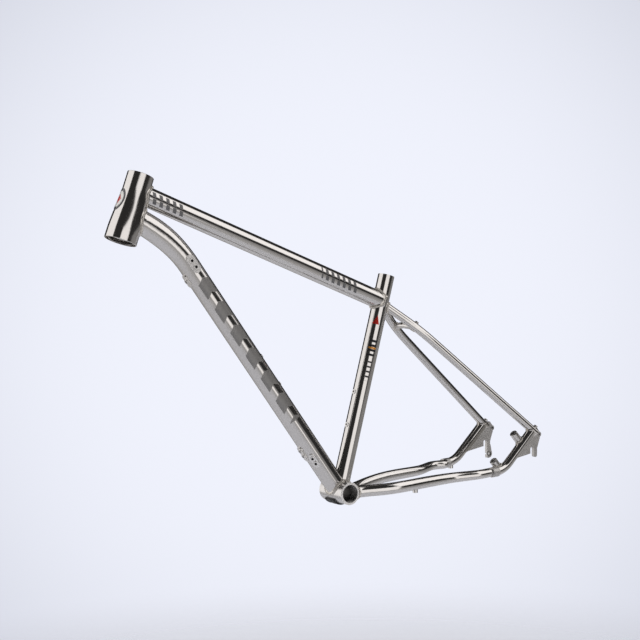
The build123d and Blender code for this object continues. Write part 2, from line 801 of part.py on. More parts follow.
rack_boss = boss(rack_boss_point, seatstay_above, small_boss_radius, 0,
                 seatstay_radius + rack_boss_proud, m5_thread_radius, rack_thread_depth)
with BuildPart() as rack_boss_left:
    add(rack_boss)
    add(seatstay_solid, mode=Mode.SUBTRACT)
    add(dropout_left, mode=Mode.SUBTRACT)
finish(both_sides(rack_boss_left.part), "rack_bosses")

down = Vector(0, 0, -1)
left_guide_point = left_chainstay_line @ left_guide_share
left_guide_proud = chainstay_height_at(left_guide_share) + stay_guide_height
with BuildPart() as hose_guide:
    add(boss(left_guide_point, down, stay_guide_radius, 0, left_guide_proud,
             m5_thread_radius, stay_guide_thread_depth))
    add(left_chainstay_solid, mode=Mode.SUBTRACT)
finish(hose_guide.part, "hose_guide_left")

rear_stay_wire = rear_stay_line.wires()[0]
right_guide_point = rear_stay_wire @ (right_guide_run / rear_stay_wire.length)
with BuildPart() as cable_guide:
    add(boss(right_guide_point, down, stay_guide_radius, 0, rear_stay_radius + stay_guide_height,
             m5_thread_radius, stay_guide_thread_depth))
    add(rear_stay_solid, mode=Mode.SUBTRACT)
    add(right_collar, mode=Mode.SUBTRACT)
finish(cable_guide.part.mirror(Plane.XZ), "cable_guide_right")

# ---------------------------------------------------------------- guide under the shell
guide_plane = Plane(
    origin=guide_middle + left * (guide_width / 2), x_dir=guide_down, z_dir=-left
)
guide_skin = shell_radius + guide_thickness
past_guide = 2 * shell_radius      # far enough to cut right through the guide
guide_edge_along = past_guide * cos(radians(guide_half_span))
guide_edge_across = past_guide * sin(radians(guide_half_span))
with BuildPart() as shell_guide:
    with BuildSketch(guide_plane):
        Circle(guide_skin)
        Polygon(
            (0, 0),
            (guide_edge_along, guide_edge_across),
            (guide_edge_along, -guide_edge_across),
            align=None,
            mode=Mode.INTERSECT,
        )
        Circle(shell_radius, mode=Mode.SUBTRACT)
    extrude(amount=guide_width)
    for offset in (-guide_groove_spacing / 2, guide_groove_spacing / 2):
        with Locations(Plane(origin=guide_middle + left * offset, z_dir=left).location):
            Torus(guide_skin, guide_groove_radius, mode=Mode.SUBTRACT)
    screw_seat = guide_middle + guide_down * (guide_skin - screw_head_height)
    add(bar(guide_middle, guide_middle + guide_down * past_guide, screw_radius), mode=Mode.SUBTRACT)
    add(bar(screw_seat, screw_seat + guide_down * past_guide, screw_head_radius), mode=Mode.SUBTRACT)
finish(shell_guide.part, "bottom_bracket_cable_guide")

with BuildPart() as guide_screw:
    add(bar(screw_seat, screw_seat + guide_down * screw_head_height, screw_head_radius))
    add(bar(screw_seat - guide_down * screw_length, screw_seat, screw_radius))
    with BuildSketch(Plane(origin=screw_seat + guide_down * screw_head_height, z_dir=-guide_down)):
        RegularPolygon(hex_socket_width / 2, 6, major_radius=False)
    extrude(amount=hex_socket_depth, mode=Mode.SUBTRACT)
finish(guide_screw.part, "cable_guide_screw")

# ---------------------------------------------------------------- head badge
badge_plane = Plane(
    origin=head_top + head_down * badge_drop, x_dir=left, z_dir=head_front
)
with BuildPart() as head_badge:
    with BuildSketch(badge_plane):
        Ellipse(badge_width / 2, badge_height / 2)
    extrude(amount=2 * head_bottom_radius)
    add(head_bar(badge_thickness), mode=Mode.INTERSECT)
    add(head_solid, mode=Mode.SUBTRACT)
finish(head_badge.part, "head_badge")


# ---------------------------------------------------------------- weld beads
def bead(tube, base, *cut_by):
    """The filler in the corner between a tube and its base.

    It is what lies inside both when they are thickened, and outside both as they are.
    """
    with BuildPart(mode=Mode.PRIVATE) as piece:
        add(tube)
        add(base, mode=Mode.INTERSECT)
        for solid in cut_by:
            add(solid, mode=Mode.SUBTRACT)
    return piece.part


head_weld_body = head_bar(weld_size)
seat_weld_body = bar(shell_centre, seat_top, seat_tube_radius + weld_size)
shell_weld_body = bar(-shell_end, shell_end, shell_radius + weld_size)
top_weld_body = bar(top_tube_front, top_tube_rear, top_tube_radius + weld_size)
down_weld_body = down_bar(weld_size)
chainstays_weld_body = both_sides(chainstay_bar(left_chainstay_line, weld_size),
                                  chainstay_bar(right_chainstay_line, weld_size))
seatstay_weld_body = seatstay_bar(stay_weld_size)
seatstays_weld_body = both_sides(seatstay_weld_body)
rear_stay_weld_body = rear_stay_bar(stay_weld_size)

weld_head_top = bead(top_weld_body, head_weld_body, top_solid, head_solid, down_solid)
finish(weld_head_top, "weld_head_to_top_tube")
weld_head_down = bead(down_weld_body, head_weld_body, down_solid, head_solid, top_solid,
                      weld_head_top)
finish(weld_head_down, "weld_head_to_down_tube")
weld_seat_top = bead(top_weld_body, seat_weld_body, top_solid, seat_solid, seatstays_solid)
finish(weld_seat_top, "weld_seat_to_top_tube")
weld_seat_stays = bead(seatstays_weld_body, seat_weld_body, seatstays_solid, seat_solid,
                       top_solid, weld_seat_top)
finish(weld_seat_stays, "weld_seat_to_seatstays")
weld_shell_seat = bead(seat_weld_body, shell_weld_body, seat_solid, shell_solid, down_solid,
                       chainstays_solid)
finish(weld_shell_seat, "weld_shell_to_seat_tube")
weld_shell_down = bead(down_weld_body, shell_weld_body, down_solid, shell_solid, seat_solid,
                       chainstays_solid, weld_shell_seat)
finish(weld_shell_down, "weld_shell_to_down_tube")
weld_shell_chainstay = bead(chainstays_weld_body, shell_weld_body, chainstays_solid, shell_solid,
                            seat_solid, down_solid, weld_shell_seat, weld_shell_down,
                            shell_guide.part)
finish(weld_shell_chainstay, "weld_shell_to_chainstays")
bridge_body = swept_bar(seatstay_bridge_wire, seatstay_bridge_radius + stay_weld_size)
weld_seatstay_bridge = bead(bridge_body, seatstays_weld_body, seatstays_solid,
                            swept_bar(seatstay_bridge_wire, seatstay_bridge_radius),
                            hose_boss)
finish(weld_seatstay_bridge, "weld_seatstay_bridge")
chainstay_bridge_solid = bar(chainstay_bridge_far, chainstay_bridge_end, chainstay_bridge_radius)
weld_chainstay_bridge = bead(
    bar(chainstay_bridge_far, chainstay_bridge_end, chainstay_bridge_radius + stay_weld_size),
    chainstays_weld_body, chainstays_solid, chainstay_bridge_solid, weld_shell_chainstay,
)
finish(weld_chainstay_bridge, "weld_chainstay_bridge")
stay_ends = rear_stay_weld_body + seatstay_weld_body
for side, plate, has_hanger in (("left", dropout_left, False), ("right", dropout_right, True)):
    plate_weld = bead(dropout_plate(has_hanger, stay_weld_size), stay_ends, plate,
                      rear_stay_solid, seatstay_solid, rack_boss)
    meet_weld = bead(rear_stay_weld_body, seatstay_weld_body, rear_stay_solid,
                     seatstay_solid, plate)
    dropout_weld = plate_weld + meet_weld
    if side == "right":
        dropout_weld = dropout_weld.mirror(Plane.XZ)
    finish(dropout_weld, f"weld_dropout_{side}")
with BuildPart() as weld_brake_posts:
    for face in post_faces.values():
        foot = face - rear_stay_front * brake_post_length
        add(bead(bar(foot, face, brake_post_radius + stay_weld_size), rear_stay_weld_body,
                 bar(foot, face, brake_post_radius), rear_stay_solid, left_collar))
finish(weld_brake_posts.part, "weld_brake_posts")
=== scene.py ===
import json
from math import cos, pi, radians, sin

import bmesh
import bpy
import numpy as np
from mathutils import Matrix, Vector


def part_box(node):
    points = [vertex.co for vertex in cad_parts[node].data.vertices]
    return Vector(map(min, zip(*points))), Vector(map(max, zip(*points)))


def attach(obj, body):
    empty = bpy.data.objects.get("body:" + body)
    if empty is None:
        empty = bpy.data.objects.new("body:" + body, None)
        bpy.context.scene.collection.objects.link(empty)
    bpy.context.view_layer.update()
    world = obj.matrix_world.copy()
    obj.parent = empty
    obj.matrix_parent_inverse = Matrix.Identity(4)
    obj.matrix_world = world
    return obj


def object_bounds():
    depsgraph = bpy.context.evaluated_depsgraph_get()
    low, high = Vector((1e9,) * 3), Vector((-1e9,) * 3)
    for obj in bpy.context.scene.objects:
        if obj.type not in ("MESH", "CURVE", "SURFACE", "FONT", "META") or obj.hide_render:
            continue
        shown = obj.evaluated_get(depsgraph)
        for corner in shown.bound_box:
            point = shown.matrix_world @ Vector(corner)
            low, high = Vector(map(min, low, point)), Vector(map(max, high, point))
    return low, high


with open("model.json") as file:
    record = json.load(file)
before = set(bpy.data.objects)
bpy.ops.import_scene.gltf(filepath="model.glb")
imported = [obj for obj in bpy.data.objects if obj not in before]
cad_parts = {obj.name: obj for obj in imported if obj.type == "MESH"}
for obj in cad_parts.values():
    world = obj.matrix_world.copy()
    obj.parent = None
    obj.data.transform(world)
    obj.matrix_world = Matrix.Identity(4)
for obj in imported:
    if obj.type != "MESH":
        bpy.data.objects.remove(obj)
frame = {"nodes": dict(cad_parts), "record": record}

cad_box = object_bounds()
nodes = frame["nodes"]
mounts = {mount["name"]: mount for mount in frame["record"]["mounts"]}

# ------------------------------------------------------------------ camera
# A long lens, a little above the bottom bracket and off the bicycle's front left, turned a
# degree about its own line of sight.
camera_azimuth = radians(146.124)
camera_elevation = radians(1.990)
camera_roll = radians(-1.019)
camera_distance = 2.2316
camera_lens = 67.37
camera_sensor = 36.0
aim = Vector((0.0367, 0.0, 0.3250))

back = Vector((sin(camera_azimuth) * cos(camera_elevation),
               -cos(camera_azimuth) * cos(camera_elevation), sin(camera_elevation)))
level_right = Vector((cos(camera_azimuth), sin(camera_azimuth), 0.0))
level_up = back.cross(level_right)
right = level_right * cos(camera_roll) + level_up * sin(camera_roll)
up = level_up * cos(camera_roll) - level_right * sin(camera_roll)
camera = bpy.data.objects.new("camera", bpy.data.cameras.new("camera"))
camera.data.lens = camera_lens
camera.data.sensor_width = camera_sensor
camera.data.clip_start = 0.05
camera.data.clip_end = 60.0
camera.matrix_world = Matrix.Translation(aim + back * camera_distance) @ Matrix(
    (right, up, back)).transposed().to_4x4()
bpy.context.scene.collection.objects.link(camera)
bpy.context.scene.camera = camera

# ------------------------------------------------------------------ studio
# A pale room: a wide pale floor that fades into a paler surround, and one soft light overhead.
# The metal mirrors something plainer: a dark room, a grey floor and three pale screens.
bpy.context.scene.view_settings.view_transform = "Standard"
surround_pale = (0.875, 0.895, 0.985, 1.0)
surround_edge = (0.60, 0.62, 0.70, 1.0)

world = bpy.data.worlds.new("pale_room")
bpy.context.scene.world = world
world.use_nodes = True
tree = world.node_tree
tree.nodes.clear()


def node_in(tree, kind, **settings):
    """A node of a shader or geometry tree with its settings and its inputs' values."""
    made = tree.nodes.new(kind)
    for key, value in settings.items():
        if key.startswith("in_"):
            made.inputs[key[3:].replace("_", " ")].default_value = value
        else:
            setattr(made, key, value)
    return made


def maths(tree, operation, *values, clamp=False):
    """A Math node fed with numbers or other nodes' outputs; gives its own output."""
    made = tree.nodes.new("ShaderNodeMath")
    made.operation = operation
    made.use_clamp = clamp
    for slot, value in enumerate(values):
        if isinstance(value, (int, float)):
            made.inputs[slot].default_value = value
        else:
            tree.links.new(value, made.inputs[slot])
    return made.outputs[0]


direction = tree.nodes.new("ShaderNodeTexCoord").outputs["Generated"]
apart = node_in(tree, "ShaderNodeSeparateXYZ")
tree.links.new(direction, apart.inputs[0])
height = apart.outputs[2]

# Seen straight on the surround is palest behind the frame and darker away from it.
toward = node_in(tree, "ShaderNodeVectorMath", operation="DOT_PRODUCT")
tree.links.new(direction, toward.inputs[0])
toward.inputs[1].default_value = -back
facing = maths(tree, "ABSOLUTE", toward.outputs["Value"])
pale_map = node_in(tree, "ShaderNodeMapRange", interpolation_type="SMOOTHSTEP")
pale_map.inputs["From Min"].default_value = cos(radians(27))
pale_map.inputs["From Max"].default_value = cos(radians(3))
tree.links.new(facing, pale_map.inputs["Value"])
seen = node_in(tree, "ShaderNodeMix", data_type="RGBA")
tree.links.new(pale_map.outputs["Result"], seen.inputs[0])
seen.inputs[6].default_value = surround_edge
seen.inputs[7].default_value = surround_pale

# What the metal mirrors: a grey floor, a dark room, and three pale screens standing round it.
level_back = Vector((sin(camera_azimuth), -cos(camera_azimuth), 0.0))
ahead = node_in(tree, "ShaderNodeVectorMath", operation="DOT_PRODUCT")
tree.links.new(direction, ahead.inputs[0])
ahead.inputs[1].default_value = level_back
aside = node_in(tree, "ShaderNodeVectorMath", operation="DOT_PRODUCT")
tree.links.new(direction, aside.inputs[0])
aside.inputs[1].default_value = level_right
turn = maths(tree, "ARCTAN2", aside.outputs["Value"], ahead.outputs["Value"])
rise = maths(tree, "ARCSINE", height)


def window(tree, value, low, high, soft):
    """One between low and high and nothing outside, with soft edges."""
    opened = node_in(tree, "ShaderNodeMapRange", interpolation_type="SMOOTHSTEP")
    opened.inputs["From Min"].default_value = low - soft
    opened.inputs["From Max"].default_value = low + soft
    tree.links.new(value, opened.inputs["Value"])
    shut = node_in(tree, "ShaderNodeMapRange", interpolation_type="SMOOTHSTEP")
    shut.inputs["From Min"].default_value = high + soft
    shut.inputs["From Max"].default_value = high - soft
    tree.links.new(value, shut.inputs["Value"])
    return maths(tree, "MULTIPLY", opened.outputs["Result"], shut.outputs["Result"])


def screen(turn_low, turn_high, rise_low, rise_high, brightness):
    """How brightly a pale screen between two turns and two heights shows in a direction."""
    soft = radians(2.5)
    across = window(tree, turn, radians(turn_low), radians(turn_high), soft)
    upward = window(tree, rise, radians(rise_low), radians(rise_high), soft)
    return maths(tree, "MULTIPLY", maths(tree, "MULTIPLY", across, upward), brightness)


floor_map = node_in(tree, "ShaderNodeMapRange", interpolation_type="SMOOTHSTEP")
floor_map.inputs["From Min"].default_value = 0.0
floor_map.inputs["From Max"].default_value = -0.9
floor_far = 0.24
floor_below = 0.56
floor_map.inputs["To Min"].default_value = floor_far
floor_map.inputs["To Max"].default_value = floor_below
tree.links.new(height, floor_map.inputs["Value"])
under = window(tree, height, -2.0, -0.085, 0.015)
glow = maths(tree, "MULTIPLY", floor_map.outputs["Result"], under)
screens = [
    screen(-124, -50, -20, 48, 1.15),
    screen(7, 54, -24, 22, 1.15),
    screen(50, 113, 15, 66, 1.3),
]
for one in screens:
    glow = maths(tree, "MAXIMUM", glow, one)
dark_room = 0.03
glow = maths(tree, "MAXIMUM", glow, dark_room)
room = node_in(tree, "ShaderNodeMix", data_type="RGBA")
tree.links.new(glow, room.inputs[0])
room.inputs[6].default_value = (0.0, 0.0, 0.0, 1.0)
room.inputs[7].default_value = (1.0, 0.97, 0.955, 1.0)
room.clamp_factor = False

path = tree.nodes.new("ShaderNodeLightPath")
both = node_in(tree, "ShaderNodeMix", data_type="RGBA")
tree.links.new(path.outputs["Is Camera Ray"], both.inputs[0])
tree.links.new(room.outputs[2], both.inputs[6])
tree.links.new(seen.outputs[2], both.inputs[7])
light = tree.nodes.new("ShaderNodeBackground")
tree.links.new(both.outputs[2], light.inputs["Color"])
tree.links.new(light.outputs[0], tree.nodes.new("ShaderNodeOutputWorld").inputs[0])

# A soft light overhead evens out the floor; the metal itself mirrors only the screens.
lamp = bpy.data.lights.new("overhead", "AREA")
lamp.shape = "RECTANGLE"
lamp.size = 3.2
lamp.size_y = 2.9
lamp.energy = 2.2 * pi * lamp.size * lamp.size_y
overhead = bpy.data.objects.new("overhead", lamp)
overhead.location = aim + Vector((0.0, 0.0, 2.4))
overhead.visible_camera = False
overhead.visible_glossy = False
bpy.context.scene.collection.objects.link(overhead)

floor_drop = 0.70
floor_radius = 5.0
floor_mesh = bpy.data.meshes.new("floor")
shape = bmesh.new()
bmesh.ops.create_circle(shape, cap_ends=True, segments=96, radius=floor_radius)
bmesh.ops.translate(shape, verts=shape.verts, vec=(0.0, 0.0, cad_box[0].z - floor_drop))
shape.to_mesh(floor_mesh)
shape.free()
floor = bpy.data.objects.new("floor", floor_mesh)
bpy.context.scene.collection.objects.link(floor)
pale = bpy.data.materials.new("pale_floor")
pale.use_nodes = True
tree = pale.node_tree
tree.nodes.clear()
place = tree.nodes.new("ShaderNodeTexCoord").outputs["Object"]
flat = node_in(tree, "ShaderNodeVectorMath", operation="MULTIPLY")
flat.inputs[1].default_value = (1.0, 1.0, 0.0)
tree.links.new(place, flat.inputs[0])
out_from_middle = node_in(tree, "ShaderNodeVectorMath", operation="LENGTH")
tree.links.new(flat.outputs[0], out_from_middle.inputs[0])
fade = node_in(tree, "ShaderNodeMapRange", interpolation_type="SMOOTHSTEP")
fade.inputs["From Min"].default_value = 0.7
fade.inputs["From Max"].default_value = 2.2
tree.links.new(out_from_middle.outputs["Value"], fade.inputs["Value"])
paint = node_in(tree, "ShaderNodeBsdfDiffuse", in_Color=(0.80, 0.81, 0.86, 1.0))
clear = tree.nodes.new("ShaderNodeBsdfTransparent")
mixed = tree.nodes.new("ShaderNodeMixShader")
tree.links.new(fade.outputs["Result"], mixed.inputs[0])
tree.links.new(paint.outputs[0], mixed.inputs[1])
tree.links.new(clear.outputs[0], mixed.inputs[2])
tree.links.new(mixed.outputs[0], tree.nodes.new("ShaderNodeOutputMaterial").inputs[0])
floor_mesh.materials.append(pale)

# ------------------------------------------------------------------ bare metal, brushed
# The tubes are bare titanium, rubbed round and round with an abrasive belt, so the fine
# scratches ring each tube and its reflections stay in sharp bands along it.
def shader_group(name, inputs, outputs):
    """An empty shader node group with named sockets; gives the group and its two ends."""
    group = bpy.data.node_groups.new(name, "ShaderNodeTree")
    for label, kind, value in inputs:
        socket = group.interface.new_socket(label, in_out="INPUT", socket_type=kind)
        if value is not None:
            socket.default_value = value
    for label, kind in outputs:
        group.interface.new_socket(label, in_out="OUTPUT", socket_type=kind)
    start = group.nodes.new("NodeGroupInput")
    end = group.nodes.new("NodeGroupOutput")
    return group, start, end


brushed, start, end = shader_group(
    "belt_brushing",
    [("Turn", "NodeSocketVector", (0.0, 0.0, 0.0)), ("Scratches", "NodeSocketFloat", 1.0)],
    [("Height", "NodeSocketFloat"), ("Tone", "NodeSocketFloat")],
)
place = brushed.nodes.new("ShaderNodeTexCoord").outputs["Object"]
turned = node_in(brushed, "ShaderNodeVectorRotate", rotation_type="EULER_XYZ", invert=True)
brushed.links.new(place, turned.inputs["Vector"])
brushed.links.new(start.outputs["Turn"], turned.inputs["Rotation"])
stretched = node_in(brushed, "ShaderNodeVectorMath", operation="MULTIPLY")
stretched.inputs[1].default_value = (1.0, 1.0, 45.0)
brushed.links.new(turned.outputs[0], stretched.inputs[0])
fine = node_in(brushed, "ShaderNodeTexNoise", in_Scale=40.0, in_Detail=1.0, in_Roughness=0.5)
brushed.links.new(stretched.outputs[0], fine.inputs["Vector"])
wide = node_in(brushed, "ShaderNodeTexNoise", in_Scale=7.0, in_Detail=2.0)
brushed.links.new(stretched.outputs[0], wide.inputs["Vector"])
cloud = node_in(brushed, "ShaderNodeTexNoise", in_Scale=26.0, in_Detail=2.0)
brushed.links.new(place, cloud.inputs["Vector"])
brushed.links.new(maths(brushed, "MULTIPLY", fine.outputs["Fac"], start.outputs["Scratches"]),
                  end.inputs["Height"])
brushed.links.new(maths(brushed, "ADD", maths(brushed, "MULTIPLY", wide.outputs["Fac"], 0.5),
                        maths(brushed, "MULTIPLY", cloud.outputs["Fac"], 0.5)), end.inputs["Tone"])

seat_axis = Vector(mounts["seatpost"]["axis"])
head_axis = Vector(mounts["headset_upper"]["axis"])
down_axis = Vector(mounts["down_tube_bottle_upper"]["axis"]).cross(Vector((0.0, -1.0, 0.0)))
brake_axis = Vector(mounts["brake_post_upper"]["axis"])
hose_axis = Vector(mounts["hose_boss"]["axis"])


def middle_line(node):
    """The middle of a long piece and the direction it mostly runs in."""
    points = np.array([tuple(vertex.co) for vertex in nodes[node].data.vertices])
    middle = points.mean(axis=0)
    long_way = np.linalg.svd(points - middle, full_matrices=False)[2][0]
    return Vector(middle), Vector(long_way)


def metal(name, along, light, dark, roughness, scratches=0.25, depth=0.00006):
    """Bare metal with its scratches round the given direction; gives the material."""
    made = bpy.data.materials.new(name)
    made.use_nodes = True
    tree = made.node_tree
    shader = tree.nodes["Principled BSDF"]
    shader.inputs["Metallic"].default_value = 1.0
    group = tree.nodes.new("ShaderNodeGroup")
    group.node_tree = brushed
    group.inputs["Turn"].default_value = Vector((0.0, 0.0, 1.0)).rotation_difference(
        Vector(along)).to_euler()
    tone = node_in(tree, "ShaderNodeMix", data_type="RGBA")
    tree.links.new(group.outputs["Tone"], tone.inputs[0])
    tone.inputs[6].default_value = dark
    tone.inputs[7].default_value = light
    tree.links.new(tone.outputs[2], shader.inputs["Base Color"])
    rough = maths(tree, "ADD", maths(tree, "MULTIPLY", group.outputs["Tone"], 0.08),
                  roughness - 0.04)
    tree.links.new(rough, shader.inputs["Roughness"])
    bump = node_in(tree, "ShaderNodeBump", in_Strength=scratches, in_Distance=depth)
    tree.links.new(group.outputs["Height"], bump.inputs["Height"])
    tree.links.new(bump.outputs[0], shader.inputs["Normal"])
    return made


def tube_metal(name, along):
    """Brushed metal for a tube that runs along the given direction."""
    return metal(name, along, (0.72, 0.705, 0.69, 1.0), (0.62, 0.605, 0.59, 1.0), 0.11, 0.10)


def shade_and_roughen_inside(material, along, through, radius):
    """Paints shade into a bored piece inside the given radius by darkening its colour there, and
    roughens it there, where no belt reaches.
    """
    tree = material.node_tree
    shader = tree.nodes["Principled BSDF"]
    away = node_in(tree, "ShaderNodeVectorMath", operation="SUBTRACT")
    tree.links.new(tree.nodes.new("ShaderNodeTexCoord").outputs["Object"], away.inputs[0])
    away.inputs[1].default_value = through
    crossed = node_in(tree, "ShaderNodeVectorMath", operation="CROSS_PRODUCT")
    tree.links.new(away.outputs[0], crossed.inputs[0])
    crossed.inputs[1].default_value = Vector(along).normalized()
    from_axis = node_in(tree, "ShaderNodeVectorMath", operation="LENGTH")
    tree.links.new(crossed.outputs[0], from_axis.inputs[0])
    inside = window(tree, from_axis.outputs["Value"], -1.0, radius, 0.00015)
    base = shader.inputs["Base Color"].links[0].from_socket
    # Painted shade: inside the radius the colour goes near black.
    mixed = node_in(tree, "ShaderNodeMix", data_type="RGBA")
    tree.links.new(inside, mixed.inputs[0])
    tree.links.new(base, mixed.inputs[6])
    mixed.inputs[7].default_value = (0.13, 0.125, 0.12, 1.0)
    tree.links.new(mixed.outputs[2], shader.inputs["Base Color"])
    rough = shader.inputs["Roughness"].links[0].from_socket
    tree.links.new(maths(tree, "MAXIMUM", rough, maths(tree, "MULTIPLY", inside, 0.55)),
                   shader.inputs["Roughness"])


def dress(node, material):
    """A carried-over piece takes one material all over."""
    data = nodes[node].data
    data.materials.clear()
    data.materials.append(material)


for node in nodes:
    if node.startswith(("seatstay_left", "seatstay_right", "chainstay_left", "chainstay_right")):
        dress(node, tube_metal(node + "_metal", middle_line(node)[1]))
rear_axis = Vector((0.0, 1.0, 0.0)).cross(brake_axis)
for side in ("left", "right"):
    dress("rear_stay_" + side, tube_metal("rear_stay_metal_" + side, rear_axis))
across_metal = tube_metal("cross_tube_metal", (0.0, 1.0, 0.0))
dress("seatstay_bridge", across_metal)
dress("chainstay_bridge", across_metal)


def mark(tree, base, mask, paint):
    """Matte paint laid over a colour where the mask is one."""
    mixed = node_in(tree, "ShaderNodeMix", data_type="RGBA")
    tree.links.new(mask, mixed.inputs[0])
    tree.links.new(base, mixed.inputs[6])
    mixed.inputs[7].default_value = paint
    return mixed.outputs[2]


def matte_marks(material, marks):
    """Painted marks on a metal: each is a mask socket and the paint's colour."""
    tree = material.node_tree
    shader = tree.nodes["Principled BSDF"]
    for mask, paint in marks:
        base = shader.inputs["Base Color"].links[0].from_socket
        tree.links.new(mark(tree, base, mask, paint), shader.inputs["Base Color"])
        rough = shader.inputs["Roughness"].links[0].from_socket
        matte = maths(tree, "ADD", maths(tree, "MULTIPLY", rough, maths(
            tree, "SUBTRACT", 1.0, mask)), maths(tree, "MULTIPLY", mask, 0.55))
        tree.links.new(matte, shader.inputs["Roughness"])


def tube_place(tree, along):
    """Where a point is along a tube, across it in the bicycle's plane, and to the side."""
    turned = node_in(tree, "ShaderNodeVectorRotate", rotation_type="EULER_XYZ", invert=True)
    tree.links.new(tree.nodes.new("ShaderNodeTexCoord").outputs["Object"],
                   turned.inputs["Vector"])
    turned.inputs["Rotation"].default_value = Vector((0.0, 0.0, 1.0)).rotation_difference(
        Vector(along)).to_euler()
    parts = node_in(tree, "ShaderNodeSeparateXYZ")
    tree.links.new(turned.outputs[0], parts.inputs[0])
    return parts.outputs[2], parts.outputs[0], parts.outputs[1]

# ------------------------------------------------------------------ main tubes
# The down, top, seat and head tubes are brushed bare, with plain blasted-matte bars and small
# painted marks laid on their sides.
matte_grey = (0.30, 0.295, 0.29, 1.0)
down_metal = tube_metal("down_tube_metal", down_axis)
tree = down_metal.node_tree
run, over, side = tube_place(tree, down_axis)
lean = maths(tree, "ADD", run, maths(tree, "MULTIPLY", maths(tree, "ABSOLUTE", over), 0.7))
teeth = window(tree, maths(tree, "FRACT", maths(tree, "DIVIDE", lean, 0.052)), 0.06, 0.66, 0.012)
bars = maths(tree, "MULTIPLY", teeth, window(tree, run, 0.180, 0.505, 0.0006))
bars = maths(tree, "MULTIPLY", bars, window(tree, over, -0.0125, 0.0125, 0.0004))
matte_marks(down_metal, [(bars, matte_grey)])
dress("down_tube", down_metal)

top_middle, top_axis = middle_line("top_tube")
top_axis = Vector((top_axis.x, 0.0, top_axis.z)).normalized()
top_metal = tube_metal("top_tube_metal", top_axis)
tree = top_metal.node_tree
apart = node_in(tree, "ShaderNodeSeparateXYZ")
tree.links.new(tree.nodes.new("ShaderNodeTexCoord").outputs["Object"], apart.inputs[0])
run, over, side = tube_place(tree, top_axis)
front_mark = window(tree, apart.outputs[0], 0.322, 0.405, 0.0006)
rear_mark = window(tree, apart.outputs[0], -0.040, 0.042, 0.0006)
ticks = window(tree, maths(tree, "FRACT", maths(tree, "DIVIDE", apart.outputs[0], 0.0125)),
               0.08, 0.60, 0.02)
both_marks = maths(tree, "MULTIPLY", maths(tree, "MAXIMUM", front_mark, rear_mark), ticks)
turned_middle = top_middle.copy()
turned_middle.rotate(Vector((0.0, 0.0, 1.0)).rotation_difference(top_axis).inverted())
band = window(tree, maths(tree, "ABSOLUTE", maths(tree, "SUBTRACT", over, turned_middle.x)),
              0.0015, 0.0095, 0.0004)
matte_marks(top_metal, [(maths(tree, "MULTIPLY", both_marks, band), (0.20, 0.20, 0.205, 1.0))])
dress("top_tube", top_metal)

seat_metal = tube_metal("seat_tube_metal", seat_axis)
tree = seat_metal.node_tree
run, over, side = tube_place(tree, seat_axis)
front_side = window(tree, over, -0.001, 0.0125, 0.0004)
tall = maths(tree, "MULTIPLY", maths(tree, "SUBTRACT", 0.342, run), 0.30)
flag = maths(tree, "LESS_THAN", maths(tree, "ABSOLUTE", maths(tree, "SUBTRACT", over, 0.009)), tall)
flag = maths(tree, "MULTIPLY", flag, window(tree, run, 0.324, 0.342, 0.0003))
lines = maths(tree, "MULTIPLY", window(tree, run, 0.262, 0.298, 0.0004), window(
    tree, maths(tree, "FRACT", maths(tree, "DIVIDE", run, 0.009)), 0.1, 0.62, 0.03))
lines = maths(tree, "MULTIPLY", lines, front_side)
amber = maths(tree, "MULTIPLY", window(tree, run, 0.276, 0.2795, 0.0003), front_side)
small = maths(tree, "MULTIPLY", window(tree, run, 0.214, 0.252, 0.0004), window(
    tree, over, 0.001, 0.0085, 0.0004))
small = maths(tree, "MULTIPLY", small, window(
    tree, maths(tree, "FRACT", maths(tree, "DIVIDE", run, 0.0095)), 0.2, 0.55, 0.03))
matte_marks(seat_metal, [(flag, (0.55, 0.04, 0.03, 1.0)), (lines, (0.04, 0.04, 0.045, 1.0)),
                         (amber, (0.75, 0.33, 0.05, 1.0)), (small, (0.05, 0.05, 0.055, 1.0))])
dress("seat_tube", seat_metal)
head_metal = tube_metal("head_tube_metal", head_axis)
# Painted shade darkens the inside of the head tube's bore.
shade_and_roughen_inside(head_metal, head_axis, mounts["headset_upper"]["pos_m"], 0.0200)
dress("head_tube", head_metal)

# ------------------------------------------------------------------ machined and blasted fittings
# The shell, sleeve, bosses, posts and cable ports are turned bar left as machined; the
# dropouts and the collars round the stays' joints are bead-blasted to an even matte grey.
def machined(name, along):
    """Turned metal with fine tool rings round the given direction."""
    return metal(name, along, (0.74, 0.73, 0.72, 1.0), (0.64, 0.63, 0.62, 1.0), 0.27, 0.35)


shell_metal = machined("shell_metal", (0.0, 1.0, 0.0))
# Painted shade darkens the inside of the shell's bore.
shade_and_roughen_inside(shell_metal, (0.0, 1.0, 0.0), (0.0, 0.0, 0.0), 0.0190)
tree = shell_metal.node_tree
shader = tree.nodes["Principled BSDF"]
apart = node_in(tree, "ShaderNodeSeparateXYZ")
tree.links.new(tree.nodes.new("ShaderNodeTexCoord").outputs["Object"], apart.inputs[0])
shell_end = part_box("bottom_bracket_shell")[1].y
faced_depth = 0.0008
end_face = maths(tree, "GREATER_THAN", maths(tree, "ABSOLUTE", apart.outputs[1]),
                 shell_end - faced_depth)
rough = shader.inputs["Roughness"].links[0].from_socket
tree.links.new(maths(tree, "MAXIMUM", rough, maths(tree, "MULTIPLY", end_face, 0.55)),
               shader.inputs["Roughness"])
